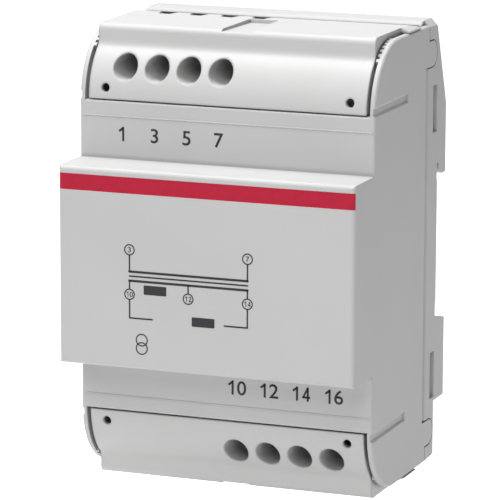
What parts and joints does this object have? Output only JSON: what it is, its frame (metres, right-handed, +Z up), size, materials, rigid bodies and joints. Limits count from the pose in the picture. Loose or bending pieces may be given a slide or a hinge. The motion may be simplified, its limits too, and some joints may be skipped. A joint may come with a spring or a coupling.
{
  "type": "safety transformer",
  "caption": "Rail-mounted safety transformer: stepped grey housing with a red front stripe, two lift-off terminal covers with screw access holes, a rail hook and a sliding rail latch.",
  "frame": {"origin": "middle of the rail seat at the back of the base", "axes": "+Z up along the housing, +Y out of the back towards the rail's wall, +X to the right seen from the front along +Y"},
  "size_m": [0.07, 0.0629, 0.1042],
  "materials": {
    "housing_plastic": "fine matt grain",
    "stripe_print": "printed red band",
    "dark_print": "printed marks of the scene, no node of their own",
    "base_plastic": "fine matt grain",
    "cover_plastic": "fine matt grain",
    "latch_plastic": "matt",
    "spring_steel": "bright drawn wire",
    "core_steel": "lacquered sheet edges",
    "bobbin_plastic": "matt",
    "winding_wire": "enamelled copper",
    "tape_film": "satin film",
    "cutout_plastic": "satin",
    "carrier_plastic": "matt",
    "terminal_steel": "zinc plated",
    "contact_brass": "tinned brass",
    "lead_insulation": "satin"
  },
  "bodies": {
    "housing": {"bobbin": "bobbin_plastic", "core_e_stack": "core_steel", "core_i_stack": "core_steel", "front_housing": "housing_plastic", "front_stripe": "stripe_print", "latch_spring": "spring_steel", "lead_10": "lead_insulation", "lead_12": "lead_insulation", "lead_14": "lead_insulation", "lead_3": "lead_insulation", "lead_7": "lead_insulation", "lower_terminal_carrier": "carrier_plastic", "lower_terminal_screws": "terminal_steel", "primary_pins": "contact_brass", "primary_tape": "tape_film", "primary_winding": "winding_wire", "rear_base": "base_plastic", "secondary_pins": "contact_brass", "secondary_tape": "tape_film", "secondary_winding": "winding_wire", "terminal_bar_1": "contact_brass", "terminal_bar_10": "contact_brass", "terminal_bar_12": "contact_brass", "terminal_bar_14": "contact_brass", "terminal_bar_16": "contact_brass", "terminal_bar_3": "contact_brass", "terminal_bar_5": "contact_brass", "terminal_bar_7": "contact_brass", "terminal_cage_1": "terminal_steel", "terminal_cage_10": "terminal_steel", "terminal_cage_12": "terminal_steel", "terminal_cage_14": "terminal_steel", "terminal_cage_16": "terminal_steel", "terminal_cage_3": "terminal_steel", "terminal_cage_5": "terminal_steel", "terminal_cage_7": "terminal_steel", "thermal_cutout": "cutout_plastic", "upper_terminal_carrier": "carrier_plastic", "upper_terminal_screws": "terminal_steel"},
    "upper_cover": {"upper_terminal_cover": "cover_plastic"},
    "lower_cover": {"lower_terminal_cover": "cover_plastic"},
    "latch": {"rail_latch": "latch_plastic"}
  },
  "joints": [
    {"name": "upper_cover_lift", "type": "slide", "parent": "housing", "child": "upper_cover", "axis": [0, 0, 1], "range_m": [0, 0.022]},
    {"name": "lower_cover_lift", "type": "slide", "parent": "housing", "child": "lower_cover", "axis": [0, 0, -1], "range_m": [0, 0.022]},
    {"name": "latch_slide", "type": "slide", "parent": "housing", "child": "latch", "axis": [0, 0, -1], "range_m": [0, 0.004], "stiffness_N_per_m": 600, "springref_m": -0.003, "deforming": ["latch_spring"]}
  ]
}
